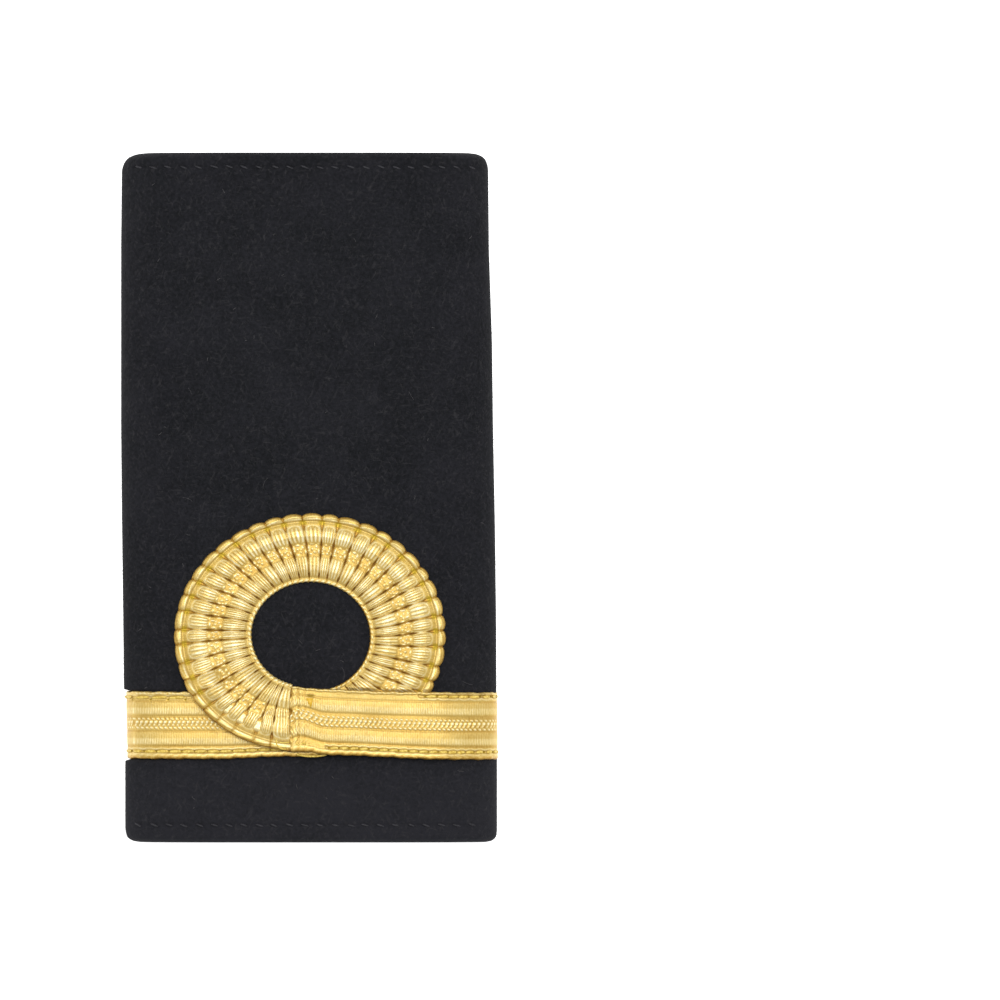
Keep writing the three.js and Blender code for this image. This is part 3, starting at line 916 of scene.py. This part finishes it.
def machine_stitches():
    points, headings, ups, lengths = [], [], [], []
    for lines, layered in ((LEFT_LINES, False), (RIGHT_LINES, True)):
        for line, pitch, _, _, low, high in lines:
            low, high = np.clip((low, high), *travel_at(np.array([-LAST_STITCH, LAST_STITCH])))
            place = (np.arange(np.ceil(low / pitch), np.floor(high / pitch)) + 0.5) * pitch
            stop = np.interp(place, travel_at(all_stops), all_stops)
            x = stop * WIDTH / 2
            upper, lower = run_edges(x, layered)
            y = upper + (lower - upper) * line / LACE_SEEN
            rise = drawn_down(stop, y, run_base(x, layered) + STITCH_RISE, STITCH_RISE, 1)
            here = section(stop, y, rise)
            heading = unit(section(stop + 0.004, y, rise) - here)
            points.append(here)
            headings.append(heading + np.array([0, 0.05, 0]))
            ups.append(np.cross(heading, np.tile([0.0, 1.0, 0.0], (len(x), 1))))
            lengths.append(np.full_like(x, pitch - STITCH_APART))
    points, headings, ups, lengths = map(np.concatenate, (points, headings, ups, lengths))
    return laid(points, headings, ups, lengths, STITCH_WIDTH, STITCH_HEIGHT)


gold_thread = copies("lace_stitches", stitch_shape, machine_stitches())
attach(gold_thread, "root")
sewn, start, shader = finish("yellow sewing thread", Roughness=0.5, Specular_IOR_Level=0.4)
place = start.out("TexCoord", output=3)
twist = start.out("TexNoise", Vector=place, Scale=3000.0, Detail=2.0)
plug(twist.between(0.3, 0.75).blend(rgb(176, 144, 44), rgb(218, 194, 98)), shader, "Base Color")
gold_thread.data.materials.append(sewn)


# The loose threads beside the crease: ends of the yellow thread that loop over the lower edge of the lace and
# peep out below it, and a small flap of yarn that has lifted near the upper edge.
def strands(name, paths, radii):
    """One mesh of round closed threads, one along each path of points in millimetres."""
    sides = 6
    turn = np.linspace(0, 2 * np.pi, sides, endpoint=False)
    points, faces = [], []
    for path, radius in zip(paths, radii):
        ahead = unit(np.gradient(path, axis=0))
        side = unit(np.cross(ahead, [0.0, 0.05, 1.0]))
        up = np.cross(side, ahead)
        ring = np.cos(turn)[None, :, None] * side[:, None, :] + np.sin(turn)[None, :, None] * up[:, None, :]
        first = len(points)
        points.extend((path[:, None, :] + radius * ring).reshape(-1, 3).tolist())
        for step in range(len(path) - 1):
            low = first + step * sides
            faces += [[low + k, low + (k + 1) % sides, low + sides + (k + 1) % sides, low + sides + k]
                      for k in range(sides)]
        last = first + (len(path) - 1) * sides
        faces += [list(range(first, first + sides)), list(range(last, last + sides))]
    mesh = bpy.data.meshes.new(name)
    mesh.from_pydata((np.array(points) * MM).tolist(), [], faces)
    return linked(name, mesh)


def curved(stops, count, rise):
    """A smooth path through places of the plan, lying over the cloth at the given rises."""
    stops = np.array(stops, dtype=float)
    share = np.linspace(0, 1, len(stops))
    fine = np.linspace(0, 1, count)
    degree = min(3, len(stops) - 1)
    x, y = [np.polyval(np.polyfit(share, stops[:, axis], degree), fine) for axis in (0, 1)]
    return over_face(x, y, np.interp(fine, share, rise))


LOOSE = [
    ([(-4.6, -34.9), (-4.5, -35.9), (-3.7, -36.4), (-2.7, -36.3)], [1.9, 2.2, 2.2, 1.9], 0.13),
    ([(-4.4, -35.4), (-3.6, -35.5), (-2.7, -35.4)], [2.0, 2.3, 1.9], 0.12),
    ([(-2.3, -35.5), (-1.5, -35.8), (-0.6, -36.7)], [1.9, 2.3, 1.8], 0.12),
    ([(-1.5, -35.7), (-0.7, -35.6), (0.0, -35.8)], [2.0, 2.35, 1.9], 0.12),
    ([(-1.7, -37.15), (-0.6, -37.4), (1.0, -37.45), (2.6, -37.2)], [0.9, 1.0, 1.1, 1.0], 0.16),
]
loose = strands("loose_threads", [curved(stops, 16, rise) for stops, rise, _ in LOOSE],
                [radius for *_, radius in LOOSE])
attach(loose, "root")
loose.data.materials.append(sewn)


def lifted_flap():
    shape = bmesh.new()
    corners = [(-0.35, -29.05), (0.7, -29.05), (0.35, -30.5)]
    x, y = np.array(corners).T
    verts = [shape.verts.new(point) for point in over_face(x, y, np.full_like(x, 2.3)) * MM]
    face = shape.faces.new(verts)
    walls = bmesh.ops.extrude_face_region(shape, geom=[face])
    top = [item for item in walls["geom"] if isinstance(item, bmesh.types.BMVert)]
    bmesh.ops.translate(shape, verts=top, vec=(0, 0, 0.16 * MM))
    return linked("lifted_flap", meshed("lifted_flap", shape))


flap = lifted_flap()
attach(flap, "root")
flap_gold = finish("bare yellow yarn", Roughness=0.45, Specular_IOR_Level=0.4,
                   Base_Color=rgb(206, 164, 46))[0]
flap.data.materials.append(flap_gold)


# Nap and lint: short dark fibres that stand out of the wool all over, and a few pale hairs that lie on it.
FIBRES = 15000
FIBRE_WIDTH = 0.03
CLEAR_OF_CURL = (20.6, 18.6)
LINT, LONG_LINT = 42, 8
LINT_POINTS = 7


def fibre_shape():
    shape = bmesh.new()
    bmesh.ops.create_cone(shape, cap_ends=True, segments=3, radius1=0.5, radius2=0.15, depth=1.0)
    bmesh.ops.rotate(shape, verts=shape.verts, matrix=ABOUT_Y)
    return meshed("fibre", shape)


def off_lace(x, y):
    """Whether places of the plan lie on bare cloth."""
    outside = np.hypot((x - LOOP[0]) / CLEAR_OF_CURL[0], (y - LOOP[1]) / CLEAR_OF_CURL[1]) > 1
    in_eye = np.hypot((x - LOOP[0]) / EYE[0], (y - LOOP[1]) / EYE[1]) < 0.96
    return (np.abs(y - LACE_Y) > band + 0.3) & (outside | in_eye)


def nap_fibres(count):
    """Fibres all round the outside of the front panel, away from the lace."""
    pick = np.random.default_rng(5)
    stop = pick.choice(outer_stops[8:-8], count) + pick.uniform(-0.004, 0.004, count)
    y = pick.uniform(-END + 0.4, END - 0.4, count)
    here = section(stop, y, 0)
    out = unit(section(stop, y, 1.0) - here)
    heading = unit(out * 0.3 + unit(pick.normal(0, 1, (count, 3))))
    size = pick.uniform(0.25, 0.7, count)
    keep = off_lace(here[:, 0], y) & (here[:, 2] - size > 0.05)
    here, heading, size = here[keep], heading[keep], size[keep]
    side = unit(np.cross(heading, [0.0, 0.3, 1.0]))
    other = np.cross(heading, side)
    arrows = np.stack([heading * size[:, None], side * FIBRE_WIDTH, other * FIBRE_WIDTH], axis=1)
    return here + heading * 0.08, arrows


nap = copies("wool_nap", fibre_shape(), nap_fibres(FIBRES))
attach(nap, "root")
nap.data.materials.append(WOOL)


def lint_paths():
    pick = np.random.default_rng(11)
    paths, radii = [], []
    while len(paths) < LINT:
        x, y = pick.uniform(-25, 25), pick.uniform(-END + 4, END - 4)
        if not off_lace(x, y):
            continue
        long = len(paths) < LONG_LINT
        size = pick.uniform(0.9, 2.6) if long else pick.uniform(0.35, 0.8)
        heading = pick.uniform(0, 2 * np.pi) + np.linspace(0, pick.uniform(-1.4, 1.4), LINT_POINTS)
        steps = np.stack([np.cos(heading), np.sin(heading)], axis=1) * size / LINT_POINTS
        line = np.array([x, y]) + np.cumsum(steps, axis=0)
        paths.append(over_face(line[:, 0], line[:, 1], np.full(LINT_POINTS, 0.02)))
        radii.append(0.02 if long else 0.03)
    return paths, radii


lint = strands("lint", *lint_paths())
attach(lint, "root")
lint.data.materials.append(finish("pale lint", Roughness=0.8, Base_Color=rgb(64, 62, 64))[0])


# The floor, the lights and the camera: a pale table under soft light from above, seen from straight overhead.
PIXEL = 100 / 689 # millimetres of the slide for each pixel of the photograph
PHOTO_CENTRE = ((500 - 309) * PIXEL, (497.5 - 500) * PIXEL)
LENS = 600.0
SENSOR = 36.0
SEEN = 1000 * PIXEL
SHARP_AT = 3.5 # height at which a pixel is exactly its size

bpy.ops.mesh.primitive_plane_add(size=60, location=(0, 0, -0.00005))
floor = bpy.context.object
floor.name = "table"
pale = finish("pale table", Roughness=0.9, Specular_IOR_Level=0.1, Base_Color=(0.95, 0.95, 0.95, 1),
              Emission_Color=(1, 1, 1, 1), Emission_Strength=0.75)[0]
floor.data.materials.append(pale)

world = bpy.data.worlds.new("studio")
bpy.context.scene.world = world
world.use_nodes = True
world.node_tree.nodes["Background"].inputs["Color"].default_value = (1, 1, 1, 1)
world.node_tree.nodes["Background"].inputs["Strength"].default_value = 0.6


def soft_light(name, place, size, power):
    light = bpy.data.lights.new(name, "AREA")
    light.size = size
    light.energy = power
    lamp = bpy.data.objects.new(name, light)
    lamp.location = place
    lamp.rotation_euler = (-Vector(place)).to_track_quat("-Z", "Y").to_euler()
    bpy.context.collection.objects.link(lamp)


soft_light("overhead softbox", (0.06, 0.2, 1.05), 0.5, 8.95)
soft_light("left softbox", (-0.45, 0.15, 0.5), 0.3, 0.9)
soft_light("right softbox", (0.5, 0.25, 0.45), 0.3, 0.7)

camera = bpy.data.objects.new("camera", bpy.data.cameras.new("camera"))
camera.data.lens = LENS
camera.data.sensor_width = SENSOR
camera.location = Vector((PHOTO_CENTRE[0], PHOTO_CENTRE[1], SHARP_AT + SEEN * LENS / SENSOR)) * MM
camera.data.clip_end = 100
bpy.context.collection.objects.link(camera)
bpy.context.scene.camera = camera
bpy.context.scene.view_settings.view_transform = "Standard"
